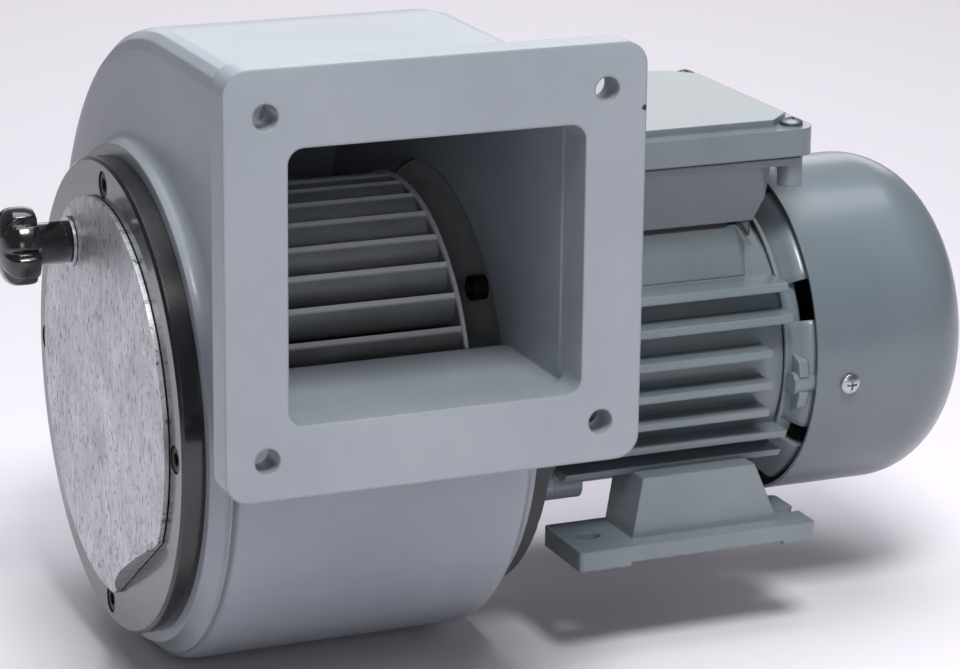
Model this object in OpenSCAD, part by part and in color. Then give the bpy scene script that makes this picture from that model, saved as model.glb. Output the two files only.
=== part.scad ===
// Direct-drive centrifugal blower: cast volute, forward-curved wheel, inlet damper and a
// foot-mounted induction motor.
// Row frame: origin at the centre of the motor foot bolt pattern on the mounting plane,
// +X along the shaft towards the fan cover, -Y towards the outlet flange, +Z up.

/* [Output] */
// which piece to show

/* [Motor frame and feet] */
// shaft centre height above the mounting plane
shaft_h = 71; // [63:1:80]
// foot hole spacing along the shaft
foot_b = 90; // [80:1:100]
// foot hole spacing across the shaft
foot_a = 112; // [100:1:125]
// foot hole slot width
foot_slot_w = 7; // [5.8:0.1:9]
// foot hole slot length, along the shaft
foot_slot_l = 10; // [7:0.5:14]
// foot pad length along the shaft
foot_pad_l = 105; // [98:1:115]
// foot pad shift from the hole centre along the shaft
foot_pad_shift = -4; // [-8:0.5:4]
// foot pad thickness
foot_pad_t = 8; // [6:0.5:12]
// foot pad outer edge, from the shaft plane
foot_edge_y = 74; // [70:0.5:80]
// foot pad width across
foot_pad_w = 36; // [30:1:42]
// outer radius of the fin tips
frame_r = 68; // [60:0.5:75]
// outer radius of the frame shell under the fins
shell_r = 57; // [54:0.5:64]
// inner radius of the frame shell
shell_bore_r = 51; // [48:0.5:56]
// fin thickness
fin_t = 3.2; // [2:0.1:5]
// frame start on the shaft axis
frame_x0 = -57; // [-62:0.5:-50]
// frame end on the shaft axis
frame_x1 = 40; // [34:0.5:46]

/* [Fan cover] */
// cover rim position on the shaft axis
cover_x0 = 49.3; // [46:0.1:56]
// cover length
cover_l = 79; // [60:0.5:90]
// cover outer radius
cover_r = 69.2; // [66:0.1:74]
// cover sheet thickness
cover_t = 1.2; // [0.8:0.1:2]
// cover shoulder radius
cover_shoulder = 32; // [15:1:45]

/* [Terminal box] */
// lid length along the shaft
lid_l = 105; // [96:1:130]
// lid width across the shaft
lid_w = 114; // [90:1:130]
// lid rim top, above the shaft axis
lid_top = 97; // [85:0.5:110]
// lid rim height
lid_h = 11; // [6:0.5:15]
// raised panel height on the lid
lid_panel_h = 3; // [1:0.5:5]
// box base line above the shaft axis
box_base = 54; // [52:0.5:60]
// box body length at its base
box_base_l = 70; // [50:1:80]

/* [Volute casing] */
// casing and flange centre on the shaft axis
fan_x = -149.5; // [-160:0.5:-140]
// casing width over its side walls
case_w = 124; // [110:1:140]
// casing wall thickness
wall = 6; // [4:0.5:9]
// scroll top arc radius
scroll_r_top = 143; // [130:1:155]
// scroll top arc centre, towards the outlet
scroll_cy_top = -22; // [-30:1:-10]
// scroll lower rear arc radius
scroll_r_low = 112; // [100:1:125]
// scroll centre line height above the shaft axis
scroll_cz = 3; // [0:0.5:8]
// rounding of the casing's outer edges
edge_r = 8; // [4:0.5:12]

/* [Outlet flange] */
// flange width along the shaft
flange_w = 160; // [140:1:180]
// flange height
flange_h = 156; // [140:1:175]
// flange thickness
flange_t = 13; // [8:0.5:18]
// flange face, in front of the shaft axis
flange_y = -150; // [-165:1:-135]
// flange centre above the shaft axis
flange_cz = 81; // [70:0.5:90]
// hole pattern centre above the shaft axis
flange_hole_cz = 80; // [70:0.5:90]
// hole spacing along the shaft
flange_hole_x = 129; // [110:1:150]
// hole spacing in height
flange_hole_z = 124; // [105:1:145]
// flange hole radius
flange_hole_r = 4.75; // [3.5:0.25:6]
// opening width
open_w = 113; // [95:1:125]
// opening height
open_h = 100.5; // [85:0.5:115]

/* [Inlet ring and damper] */
// ring front face on the shaft axis
ring_x0 = -227; // [-235:0.5:-220]
// ring thickness
ring_t = 9; // [6:0.5:14]
// ring outer radius
ring_r = 93.5; // [88:0.5:100]
// inlet radius
inlet_r = 50; // [40:0.5:56]
// screw circle radius of the ring
ring_screw_r = 84.5; // [82:0.5:88]
// damper plate radius
damper_r = 78.5; // [70:0.5:82]
// damper plate thickness
damper_t = 2; // [1:0.25:3]
// damper pivot distance from the shaft axis
pivot_r = 65; // [60:0.5:70]
// damper pivot direction, from +Y towards +Z
pivot_angle = 55; // [0:1:90]
// depth of the segment bent out as a lip
lip_depth = 8; // [5:0.5:12]
// knob head radius
knob_r = 16; // [12:0.5:20]
// knob head length
knob_h = 15; // [10:0.5:20]
// knob stem length
knob_stem_l = 14; // [8:0.5:20]
// knob stem radius
knob_stem_r = 8.5; // [6:0.5:12]
// pivot stud radius
stud_r = 4; // [3:0.5:5]

/* [Fan wheel] */
// wheel outer radius
wheel_r = 78; // [70:0.5:80]
// wheel inner radius at the blades
wheel_bore_r = 64; // [58:0.5:70]
// wheel back disc position on the shaft axis
wheel_x1 = -105; // [-112:0.5:-98]
// wheel width
wheel_w = 94; // [80:1:100]
// number of blades
blades = 36; // [24:1:48]
// blade sheet thickness
blade_t = 0.9; // [0.6:0.1:1.5]
// blade curve radius
blade_curve_r = 11; // [8:0.5:16]

/* [Back plate] */
// plate thickness
plate_t = 8; // [6:0.5:12]
// plate radius
plate_r = 92; // [88:0.5:100]
// casing rear boss radius
rear_boss_r = 95.5; // [92:0.5:102]

/* [Shaft line] */
// shaft extension radius
shaft_r = 7; // [5.5:0.5:9]
// bearing bore radius
bearing_bore_r = 7.5; // [7:0.5:10]
// bearing outer radius
bearing_r = 17.5; // [16:0.5:22]
// bearing width
bearing_w = 11; // [9:0.5:14]
// running clearance, on the radius
run_gap = 0.05; // [0.01:0.01:0.1]
// gap between separate moving pieces
part_gap = 0.3; // [0.1:0.05:0.6]

/* [Hidden] */
$fn = 64;
cut = 1;

case_x0 = fan_x - case_w / 2;
case_x1 = fan_x + case_w / 2;
ring_x1 = ring_x0 + ring_t;
front_boss_h = case_x0 - ring_x1;
rear_boss_h = 2.5;
plate_x0 = case_x1 + rear_boss_h;
plate_x1 = plate_x0 + plate_t;
arc_step = 0.1;
scroll_cy_low = scroll_cy_top + scroll_r_top - scroll_r_low - arc_step;
inner_r_front = 98;
inner_cz_front = scroll_cz - (scroll_r_low - wall) + inner_r_front;
duct_floor = flange_hole_cz - open_h / 2;
duct_top = flange_hole_cz + open_h / 2;
duct_skin = 8;
tongue_y = -80;
case_hole_r = 82;
front_hole_r = 60;
front_boss_r = 98;
boss_cove_r = 5;
flange_corner_r = 9;
open_corner_r = 6;
flange_back = flange_y + flange_t;

m6_r = 3;
m6_head_r = 5;
m6_head_h = 6;
m6_socket_af = 5;
m5_r = 2.5;
m4_r = 2;
m5_head_r = 4.25;
m5_head_h = 5;
m5_socket_af = 4;
plate_screw_r = 87;
motor_bolt_r = 57.5;
seat_gap = 0.2;
cover_screw_x = cover_x0 + 15;
cover_screw_a = 6;
cover_post_r = 4.6;
cover_post_c = cover_r - cover_t - 5;

damper_x1 = ring_x0 - part_gap;
damper_x0 = damper_x1 - damper_t;
washer_t = 1.2;
washer_r = 10;
washer_x1 = damper_x0 - part_gap;
washer_x0 = washer_x1 - washer_t;
stem_x0 = washer_x0 - knob_stem_l;
pivot_y = pivot_r * cos(pivot_angle);
pivot_z = pivot_r * sin(pivot_angle);
lip_angle = pivot_angle + 180;
lip_chord = damper_r - lip_depth;
stud_x0 = stem_x0 - 6;
stud_x1 = ring_x1 - 1;

wheel_disc_t = 1.5;
wheel_x0 = wheel_x1 - wheel_w;
hub_r = 17;
hub_x1 = plate_x0 - 1;
wheel_washer_t = 2;
key_w = 5;
key_h = 5;
key_l = 18;
key_x0 = wheel_x1 + 1;

shield_rim_r = 66;
front_plate_h = 7;
bearing1_x0 = plate_x1 + 3;
bearing2_x0 = frame_x1 + 2;
bearing_house_r = 23;
seal_t = 3;
shaft_core_r = 12;
stator_x0 = -45;
stator_l = 70;
stator_bore_r = 32;
rotor_r = 31.5;
coil_l = 13;
coil_r0 = 36;
coil_r1 = 48.5;
slots = 24;
slot_w = 4;
shaft_fan_r = 6;
fan_x0 = 66;
shaft_x0 = wheel_x1 - wheel_disc_t;
shaft_x1 = 92;
ball_r = 3;
ball_ring_r = (bearing_bore_r + bearing_r) / 2;
balls = 9;

fin_heights = [31.5, 19.5, 6.5, -6.5, -18.5, -29.5, -39];
short_fin_x1 = 30;
long_fin_x1 = frame_x1;
lug_r = 6.5;
front_lug_ring = shell_r + 4.5;
front_lugs = [45, 135, 225, 315];
rear_lug_r = 5.5;
rear_lug_ring = shell_r - 3;
rear_lugs = [-35, 70, 110, 215];
rear_lug_l = 12;

lid_z0 = lid_top - lid_h;
gasket_t = 1.5;
box_top = lid_z0 - gasket_t;
box_z0 = box_base + gasket_t;
box_top_l = 94;
box_wall = 3.5;
box_half_y0 = 36;
box_half_y1 = 42;
ped_half_x = 28;
ped_half_y = 35;
box_screw_x = 22;
box_screw_y = 28;
lead_x = 14;
lead_y = 12;
lip_in = 3;
lip_y_in = 4;
flange_plate_t = 3;
plate_corner_r = 8;
boss_r = 5;
lid_boss_h = 12;
mouth_in = 4;
lid_screw_x = lid_l / 2 - 8;
lid_screw_y = lid_w / 2 - 9;
mouth_l = box_top_l - 2 * box_wall - 2 * mouth_in;
mouth_w = 2 * (box_half_y1 - box_wall - mouth_in);
block_h = 14;
block_top = box_z0 + block_h;
block_l = 40;
block_w = 44;
stud_dx = 12;
stud_dy = 8;
stud_seat = 5;
link_t = 1;
gland_z = (box_z0 + box_top) / 2 - 1.5;
gland_r = 8;
gland_nut_r = 9.4;
gland_nut_t = 4;
gland_y0 = box_half_y1 + 1;
cable_r = 5;
gland_wall_y = box_half_y0 - box_wall
    + (box_half_y1 - box_half_y0) * (gland_z - gland_nut_r - box_z0) / (box_top - box_z0);
gland_nut_y1 = gland_wall_y - 0.5;

// local x, y, z become row Y, height above the shaft, row X
module shaft_frame() {
    translate([0, 0, shaft_h])
        rotate([90, 0, 90])
            children();
}

// a turned piece from a profile of [radius, row X]
module turned() {
    shaft_frame()
        rotate_extrude()
            children();
}

// a cylinder along the shaft at [y, z] from the shaft axis
module along_x(y, z, x0, x1, r) {
    translate([x0, y, shaft_h + z])
        rotate([0, 90, 0])
            cylinder(r = r, h = x1 - x0);
}

module tube_x(y, z, x0, x1, r, bore) {
    difference() {
        along_x(y, z, x0, x1, r);
        along_x(y, z, x0 - cut, x1 + cut, bore);
    }
}

// row XZ outline, z from the shaft axis, extruded from row Y y0 to y1
module xz_plate(y0, y1) {
    translate([0, y1, shaft_h])
        rotate([90, 0, 0])
            linear_extrude(y1 - y0)
                children();
}

// row YZ outline, z from the shaft axis, extruded from row X x0 to x1
module yz_plate(x0, x1) {
    translate([x0, 0, shaft_h])
        rotate([90, 0, 90])
            linear_extrude(x1 - x0)
                children();
}

module round_rect(x0, y0, x1, y1, r) {
    translate([x0 + r, y0])
        square([x1 - x0 - 2 * r, y1 - y0]);
    translate([x0, y0 + r])
        square([x1 - x0, y1 - y0 - 2 * r]);
    for (x = [x0 + r, x1 - r], y = [y0 + r, y1 - r])
        translate([x, y])
            circle(r);
}

// one arc of the scroll, centred at [cy, cz], swept from angle a0, outer edges rounded in flats
module scroll_arc(cy, cz, r, a0, sweep) {
    x0 = case_x0;
    x1 = case_x1;
    e = edge_r;
    f = 0.29 * e;
    g = 0.71 * e;
    translate([0, cy, shaft_h + cz])
        rotate([90, 0, 90])
            rotate([0, 0, a0])
                rotate_extrude(angle = sweep)
                    polygon([[0, x0], [r - e, x0], [r - f - 0.2 * e, x0 + 0.12 * e],
                        [r - 0.12 * e, x0 + f + 0.2 * e], [r, x0 + e], [r, x1 - e],
                        [r - 0.12 * e, x1 - f - 0.2 * e], [r - f - 0.2 * e, x1 - 0.12 * e],
                        [r - e, x1], [0, x1]]);
}

// the duct block's section, with the same edge flats as the scroll
module duct_section(z0, z1) {
    x0 = case_x0;
    x1 = case_x1;
    e = edge_r;
    k = 0.55 * e;
    polygon([[x0 + k, z0], [x1 - k, z0], [x1, z0 + k], [x1, z1 - e],
        [x1 - 0.12 * e, z1 - 0.49 * e], [x1 - 0.49 * e, z1 - 0.12 * e], [x1 - e, z1],
        [x0 + e, z1], [x0 + 0.49 * e, z1 - 0.12 * e], [x0 + 0.12 * e, z1 - 0.49 * e],
        [x0, z1 - e], [x0, z0 + k]]);
}

module scroll_solid() {
    scroll_arc(scroll_cy_top, scroll_cz, scroll_r_top, 0, 90);
    scroll_arc(scroll_cy_low, scroll_cz, scroll_r_low, -200, 200);
    yz_plate(case_x0, case_x1)
        translate([tongue_y, scroll_cz])
            square([scroll_cy_low - tongue_y, 60]);
    xz_plate(flange_back - cut, scroll_cy_top)
        duct_section(duct_floor - duct_skin, scroll_cz + scroll_r_top);
}

module quarter(cy, cz, r, sy, sz) {
    translate([cy, cz])
        intersection() {
            circle(r);
            translate([sy > 0 ? 0 : -r, sz > 0 ? 0 : -r])
                square(r);
        }
}

module scroll_void() {
    x0 = case_x0 + wall;
    x1 = case_x1 - wall;
    yz_plate(x0, x1) {
        quarter(scroll_cy_top, scroll_cz, scroll_r_top - wall, 1, 1);
        quarter(scroll_cy_low, scroll_cz, scroll_r_low - wall, 1, -1);
        quarter(scroll_cy_low, inner_cz_front, inner_r_front, -1, -1);
        quarter(scroll_cy_low, inner_cz_front, inner_r_front, -1, 1);
        polygon([[scroll_cy_top, duct_floor], [flange_back + 2, duct_floor],
            [flange_back + 2, duct_top], [-95, scroll_cz + scroll_r_top - wall],
            [scroll_cy_top, scroll_cz + scroll_r_top - wall]]);
    }
    xz_plate(flange_y - cut, flange_back + 6)
        translate([fan_x, 0])
            round_rect(-open_w / 2, duct_floor, open_w / 2, duct_top, open_corner_r);
}

module ring_holes(x0, x1, r) {
    for (a = [0 : 90 : 270])
        along_x(ring_screw_r * cos(a), ring_screw_r * sin(a), x0, x1, r);
}

module plate_holes(x0, x1, r) {
    for (a = [30 : 60 : 330])
        along_x(plate_screw_r * cos(a), plate_screw_r * sin(a), x0, x1, r);
}

module front_boss() {
    turned()
        difference() {
            translate([0, ring_x1])
                square([front_boss_r + boss_cove_r, front_boss_h + cut]);
            translate([front_boss_r + boss_cove_r, case_x0 - boss_cove_r])
                circle(boss_cove_r);
            translate([front_boss_r, ring_x1 - cut])
                square([boss_cove_r + cut, case_x0 - boss_cove_r - ring_x1 + cut]);
        }
}

module volute_casing() {
    color([0.60, 0.63, 0.66])
        difference() {
            union() {
                scroll_solid();
                front_boss();
                along_x(0, 0, case_x1 - cut, plate_x0, rear_boss_r);
                xz_plate(flange_y, flange_back)
                    translate([fan_x, flange_cz - flange_h / 2])
                        round_rect(-flange_w / 2, 0, flange_w / 2, flange_h,
                            flange_corner_r);
            }
            scroll_void();
            along_x(0, 0, ring_x1 - cut, case_x0 + wall + cut, front_hole_r);
            along_x(0, 0, case_x1 - wall - cut, plate_x0 + cut, case_hole_r);
            ring_holes(ring_x1 - cut, case_x0 + wall - 2, m6_r);
            plate_holes(case_x1 - wall + 1.5, plate_x0 + cut, m5_r);
            for (x = [-1, 1], z = [-1, 1])
                translate([fan_x + x * flange_hole_x / 2, flange_y - cut,
                    shaft_h + flange_hole_cz + z * flange_hole_z / 2])
                    rotate([-90, 0, 0])
                        cylinder(r = flange_hole_r, h = flange_t + 2 * cut);
        }
}

module inlet_ring() {
    bell = 6;
    spigot_r = front_hole_r - seat_gap;
    color([0.06, 0.06, 0.07])
        difference() {
            turned()
                difference() {
                    union() {
                        polygon([[inlet_r, ring_x0], [ring_r - 1.2, ring_x0],
                            [ring_r, ring_x0 + 1.2], [ring_r, ring_x1], [inlet_r, ring_x1]]);
                        translate([inlet_r, ring_x1 - cut])
                            square([spigot_r - inlet_r, 14 + cut]);
                    }
                    translate([inlet_r - cut, ring_x0 - cut])
                        square([bell + cut, bell + cut]);
                }
            ring_holes(ring_x0 - cut, ring_x1 + cut, m6_r + seat_gap);
            ring_holes(ring_x0 - cut, ring_x0 + m6_head_h + 0.5, m6_head_r + 0.5);
            along_x(pivot_y, pivot_z, ring_x0 - cut, stud_x1, stud_r);
        }
    color([0.06, 0.06, 0.07])
        turned()
            intersection() {
                translate([inlet_r + bell, ring_x0 + bell])
                    circle(bell);
                translate([inlet_r, ring_x0])
                    square([bell, bell]);
            }
}

// socket screw along +X, head face at x0
module socket_screw_x(y, z, x0, r, head_r, head_h, l, af) {
    difference() {
        union() {
            along_x(y, z, x0, x0 + head_h, head_r);
            along_x(y, z, x0 + head_h - cut, x0 + head_h + l, r);
        }
        translate([x0 - cut, y, shaft_h + z])
            rotate([0, 90, 0])
                cylinder(r = af / sqrt(3), h = head_h * 0.6 + cut, $fn = 6);
    }
}

module inlet_ring_screws() {
    color([0.05, 0.05, 0.05])
        for (a = [0 : 90 : 270])
            socket_screw_x(ring_screw_r * cos(a), ring_screw_r * sin(a), ring_x0 + 0.5, m6_r,
                m6_head_r, m6_head_h, ring_t - m6_head_h - 0.5 + 8, m6_socket_af);
}

module segment(r, chord) {
    intersection() {
        circle(r);
        translate([chord, -r])
            square([r, 2 * r]);
    }
}

module damper_plate() {
    color([0.72, 0.73, 0.75])
        difference() {
            union() {
                yz_plate(damper_x0, damper_x1)
                    difference() {
                        circle(damper_r);
                        rotate(lip_angle)
                            translate([lip_chord, -damper_r])
                                square([damper_r, 2 * damper_r]);
                    }
                // the cut segment, stood up along -X on its chord
                shaft_frame()
                    rotate([0, 0, lip_angle])
                        translate([lip_chord - damper_t, 0, damper_x1])
                            rotate([0, 90, 0])
                                linear_extrude(damper_t)
                                    translate([-lip_chord, 0])
                                        segment(damper_r, lip_chord);
            }
            along_x(pivot_y, pivot_z, damper_x0 - cut, damper_x1 + cut, stud_r + run_gap);
        }
}

module damper_stud() {
    color([0.62, 0.62, 0.64])
        along_x(pivot_y, pivot_z, stud_x0, stud_x1, stud_r);
}

module damper_washer() {
    color([0.62, 0.62, 0.64])
        tube_x(pivot_y, pivot_z, washer_x0, washer_x1, washer_r, stud_r + run_gap);
}

module damper_knob() {
    lobes = 7;
    dome = 3;
    color([0.04, 0.04, 0.045])
        difference() {
            translate([0, pivot_y, shaft_h + pivot_z])
                rotate([90, 0, 90])
                    rotate_extrude()
                        union() {
                            translate([0, stem_x0 - cut])
                                square([knob_stem_r, knob_stem_l + cut]);
                            translate([0, stem_x0 - knob_h + dome])
                                square([knob_r, knob_h - dome]);
                            translate([0, stem_x0 - knob_h])
                                square([knob_r - dome, knob_h]);
                            translate([knob_r - dome, stem_x0 - knob_h + dome])
                                circle(dome);
                        }
            for (i = [0 : lobes - 1])
                along_x(pivot_y + (knob_r + 2.5) * cos(i * 360 / lobes),
                    pivot_z + (knob_r + 2.5) * sin(i * 360 / lobes),
                    stem_x0 - knob_h - cut, stem_x0 + cut, 5);
            along_x(pivot_y, pivot_z, stud_x0 - 1, washer_x0 + cut, stud_r + run_gap);
        }
}

module wheel_disc() {
    color([0.42, 0.43, 0.44])
        tube_x(0, 0, wheel_x1 - wheel_disc_t, wheel_x1, wheel_r, hub_r - 4);
}

module wheel_blades() {
    sweep = 84;
    color([0.50, 0.52, 0.53])
        shaft_frame()
            for (i = [0 : blades - 1])
                rotate([0, 0, i * 360 / blades])
                    translate([wheel_bore_r + 1, -blade_curve_r, wheel_x0 + wheel_disc_t])
                        rotate([0, 0, 90 - sweep + 4])
                            rotate_extrude(angle = sweep)
                                translate([blade_curve_r, 0])
                                    square([blade_t, wheel_w - 2 * wheel_disc_t]);
}

module wheel_shroud() {
    color([0.42, 0.43, 0.44])
        turned()
            translate([wheel_bore_r - 1, wheel_x0])
                square([wheel_r - wheel_bore_r + 1, wheel_disc_t]);
}

module wheel_hub() {
    color([0.45, 0.45, 0.46])
        difference() {
            turned()
                polygon([[shaft_r, wheel_x1 - wheel_disc_t], [hub_r - 4, wheel_x1 - wheel_disc_t],
                    [hub_r - 4, wheel_x1], [hub_r + 8, wheel_x1], [hub_r + 8, wheel_x1 + 4],
                    [hub_r, wheel_x1 + 4], [hub_r, hub_x1], [shaft_r, hub_x1]]);
            translate([wheel_x1 - wheel_disc_t - cut, -key_w / 2, shaft_h])
                cube([hub_x1 - wheel_x1 + wheel_disc_t + 2 * cut, key_w, shaft_r + 2.3]);
        }
}

module wheel_washer() {
    color([0.62, 0.62, 0.64])
        tube_x(0, 0, shaft_x0 - wheel_washer_t, shaft_x0, hub_r - 5, m5_r);
}

module wheel_screw() {
    color([0.10, 0.10, 0.11])
        socket_screw_x(0, 0, shaft_x0 - wheel_washer_t - m5_head_h, m5_r, m5_head_r, m5_head_h, 16,
            m5_socket_af);
}

module shaft_key() {
    color([0.55, 0.55, 0.57])
        translate([key_x0, -key_w / 2, shaft_h + shaft_r - 3])
            cube([key_l, key_w, key_h]);
}

module back_plate() {
    color([0.06, 0.06, 0.07])
        difference() {
            union() {
                turned()
                    polygon([[20, plate_x0], [plate_r - 0.8, plate_x0], [plate_r, plate_x0 + 0.8],
                        [plate_r, plate_x1 - 0.8], [plate_r - 0.8, plate_x1],
                        [20, plate_x1]]);
                tube_x(0, 0, plate_x0 - 3, plate_x0 + cut, case_hole_r - seat_gap, 72);
            }
            plate_holes(plate_x0 - cut, plate_x1 + cut, m5_r + seat_gap);
            plate_holes(plate_x1 - 5.5, plate_x1 + cut, 4.75);
            for (a = [45 : 90 : 315])
                along_x(motor_bolt_r * cos(a), motor_bolt_r * sin(a), plate_x0 - cut, plate_x1 + cut,
                    m6_r + seat_gap);
        }
}

module back_plate_screws() {
    color([0.08, 0.08, 0.09])
        for (a = [30 : 60 : 330])
            translate([plate_x1 - 0.4, 0, 0])
                mirror([1, 0, 0])
                    socket_screw_x(plate_screw_r * cos(a), plate_screw_r * sin(a), 0, m5_r,
                        m5_head_r, m5_head_h, plate_t - m5_head_h - 0.4 + 7, m5_socket_af);
}

module flange_bolts() {
    color([0.10, 0.10, 0.11])
        for (a = [45 : 90 : 315])
            socket_screw_x(motor_bolt_r * cos(a), motor_bolt_r * sin(a), plate_x0 - m6_head_h, m6_r,
                m6_head_r, m6_head_h, plate_t + 9, m6_socket_af);
}

// a cylinder at each listed angle from the row's Y axis, on a ring about the shaft
module at_angles(angles, ring, x0, x1, r) {
    for (a = angles)
        along_x(ring * cos(a), ring * sin(a), x0, x1, r);
}

module front_shield() {
    color([0.42, 0.46, 0.48])
        difference() {
            union() {
                turned()
                    polygon([[shaft_r + 3, plate_x1], [shield_rim_r, plate_x1],
                        [shield_rim_r, plate_x1 + 9], [shield_rim_r - 5, frame_x0],
                        [shell_bore_r, frame_x0], [shell_bore_r, plate_x1 + front_plate_h],
                        [bearing_house_r, plate_x1 + front_plate_h],
                        [bearing_house_r, bearing1_x0 + bearing_w],
                        [bearing_r, bearing1_x0 + bearing_w], [bearing_r, bearing1_x0],
                        [shaft_r + 3, bearing1_x0]]);
                at_angles(front_lugs, front_lug_ring, plate_x1 + 8, frame_x0, lug_r);
            }
            for (a = [45 : 90 : 315])
                along_x(motor_bolt_r * cos(a), motor_bolt_r * sin(a), plate_x1 - cut, plate_x1 + 9, m6_r);
            at_angles(front_lugs, front_lug_ring, frame_x0 - 8, frame_x0 + cut, m5_r);
        }
}

module shaft_seal() {
    color([0.05, 0.05, 0.05])
        tube_x(0, 0, plate_x1, plate_x1 + seal_t, shaft_r + 3, shaft_r + run_gap);
}

module foot_outline() {
    polygon([[-30, foot_pad_t], [-26, shaft_h - 38], [24, shaft_h - 38], [35, foot_pad_t]]);
}

module foot_slot() {
    half = (foot_slot_l - foot_slot_w) / 2;
    for (e = [-1, 1])
        translate([e * half, 0])
            circle(foot_slot_w / 2);
    square([2 * half, foot_slot_w], center = true);
}

module frame_feet() {
    x0 = foot_pad_shift - foot_pad_l / 2;
    for (s = [-1, 1]) {
        difference() {
            linear_extrude(foot_pad_t)
                difference() {
                    translate([0, s > 0 ? foot_edge_y - foot_pad_w : -foot_edge_y])
                        round_rect(x0, 0, x0 + foot_pad_l, foot_pad_w, 2);
                    for (x = [-1, 1])
                        translate([x * foot_b / 2, s * foot_a / 2])
                            foot_slot();
                }
            translate([-34, s * 60 - 25, -cut])
                cube([68, 50, 1.5 + cut]);
        }
        translate([0, s > 0 ? 66 : -40, 0])
            rotate([90, 0, 0])
                linear_extrude(26)
                    foot_outline();
    }
}

module frame_shell() {
    yz_plate(frame_x0, frame_x1)
        circle(shell_r);
}

module frame_fins() {
    for (i = [0 : len(fin_heights) - 1])
        yz_plate(frame_x0 + 1, i >= 2 && i <= 4 ? short_fin_x1 : long_fin_x1)
            intersection() {
                translate([-frame_r, fin_heights[i]])
                    square([2 * frame_r, fin_t]);
                circle(frame_r);
            }
}

module pedestal() {
    xz_plate(-ped_half_y, ped_half_y)
        polygon([[-ped_half_x - 12, 40], [-ped_half_x, box_base], [ped_half_x, box_base],
            [ped_half_x + 12, 40]]);
}

module motor_frame() {
    color([0.42, 0.46, 0.48])
        difference() {
            union() {
                frame_shell();
                frame_fins();
                difference() {
                    frame_feet();
                    along_x(0, 0, frame_x0 - cut, frame_x1 + cut, shell_r - 2);
                }
                pedestal();
                at_angles(front_lugs, front_lug_ring, frame_x0, frame_x0 + 12, lug_r);
                at_angles(rear_lugs, rear_lug_ring, frame_x1 - rear_lug_l, frame_x1, rear_lug_r);
            }
            along_x(0, 0, frame_x0 - cut, frame_x1 + 10, shell_bore_r);
            along_x(0, 0, frame_x1, frame_x1 + 10, shell_r + 2.5);
            translate([-box_base_l / 2 - 1, -box_half_y0 - 1, shaft_h + box_base])
                cube([box_base_l + 2, 2 * box_half_y0 + 2, 10]);
            at_angles(front_lugs, front_lug_ring, frame_x0 - cut, frame_x0 + 10, m5_r);
            at_angles(rear_lugs, rear_lug_ring, frame_x1 - 10, frame_x1 + cut, m4_r);
            translate([-lead_x, -lead_y, shaft_h])
                cube([2 * lead_x, 2 * lead_y, box_base + cut]);
            for (x = [-1, 1], y = [-1, 1])
                translate([x * box_screw_x, y * box_screw_y, shaft_h + box_base - 9])
                    cylinder(r = m4_r, h = 9 + cut);
        }
}

module stator_core() {
    color([0.35, 0.35, 0.37])
        yz_plate(stator_x0, stator_x0 + stator_l)
            difference() {
                circle(shell_bore_r);
                circle(stator_bore_r);
                for (i = [0 : slots - 1])
                    rotate(i * 360 / slots)
                        translate([coil_r0, -slot_w / 2])
                            square([coil_r1 - coil_r0 - 3, slot_w]);
            }
}

module windings() {
    color([0.62, 0.32, 0.16]) {
        for (x = [stator_x0 - coil_l, stator_x0 + stator_l])
            turned()
                round_rect(coil_r0, x, coil_r1, x + coil_l, 3);
        yz_plate(stator_x0 - cut, stator_x0 + stator_l + cut)
            for (i = [0 : slots - 1])
                rotate(i * 360 / slots)
                    translate([coil_r0, -slot_w / 2])
                        square([coil_r1 - coil_r0 - 3, slot_w]);
    }
}

module rotor_core() {
    vanes = 8;
    color([0.52, 0.53, 0.55]) {
        tube_x(0, 0, stator_x0, stator_x0 + stator_l, rotor_r, shaft_core_r);
        for (x = [stator_x0 - 4, stator_x0 + stator_l])
            tube_x(0, 0, x, x + 4, rotor_r - 1, 22);
        for (i = [0 : vanes - 1], x = [stator_x0 - 9, stator_x0 + stator_l])
            translate([0, 0, shaft_h])
                rotate([i * 360 / vanes, 0, 0])
                    translate([x, -1.5, 24])
                        cube([9, 3, rotor_r - 26]);
    }
}

module shaft() {
    color([0.62, 0.63, 0.65])
        difference() {
            turned()
                polygon([[0, shaft_x0], [shaft_r, shaft_x0], [shaft_r, bearing1_x0],
                    [bearing_bore_r, bearing1_x0], [bearing_bore_r, bearing1_x0 + bearing_w],
                    [bearing_bore_r + 2, bearing1_x0 + bearing_w], [bearing_bore_r + 2, -56],
                    [shaft_core_r, -56], [shaft_core_r, 36], [bearing_bore_r + 2, 36],
                    [bearing_bore_r + 2, bearing2_x0], [bearing_bore_r, bearing2_x0],
                    [bearing_bore_r, bearing2_x0 + bearing_w + 2],
                    [shaft_fan_r, bearing2_x0 + bearing_w + 2], [shaft_fan_r, shaft_x1],
                    [0, shaft_x1]]);
            translate([key_x0, -key_w / 2, shaft_h + shaft_r - 3])
                cube([key_l, key_w, key_h]);
            along_x(0, 0, shaft_x0 - cut, shaft_x0 + 16, m5_r);
            tube_x(0, 0, fan_x0 + 22.2, fan_x0 + 23.4, shaft_fan_r + cut, shaft_fan_r - 0.6);
        }
}

module bearing_race(x0, r0, r1) {
    turned()
        difference() {
            translate([r0, x0])
                square([r1 - r0, bearing_w]);
            translate([ball_ring_r, x0 + bearing_w / 2])
                circle(ball_r + run_gap);
        }
}

module bearing_outers() {
    color([0.70, 0.71, 0.73])
        for (x = [bearing1_x0, bearing2_x0])
            bearing_race(x, ball_ring_r + 1.8, bearing_r);
}

module bearing_inners() {
    color([0.70, 0.71, 0.73])
        for (x = [bearing1_x0, bearing2_x0])
            bearing_race(x, bearing_bore_r, ball_ring_r - 1.8);
}

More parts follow.
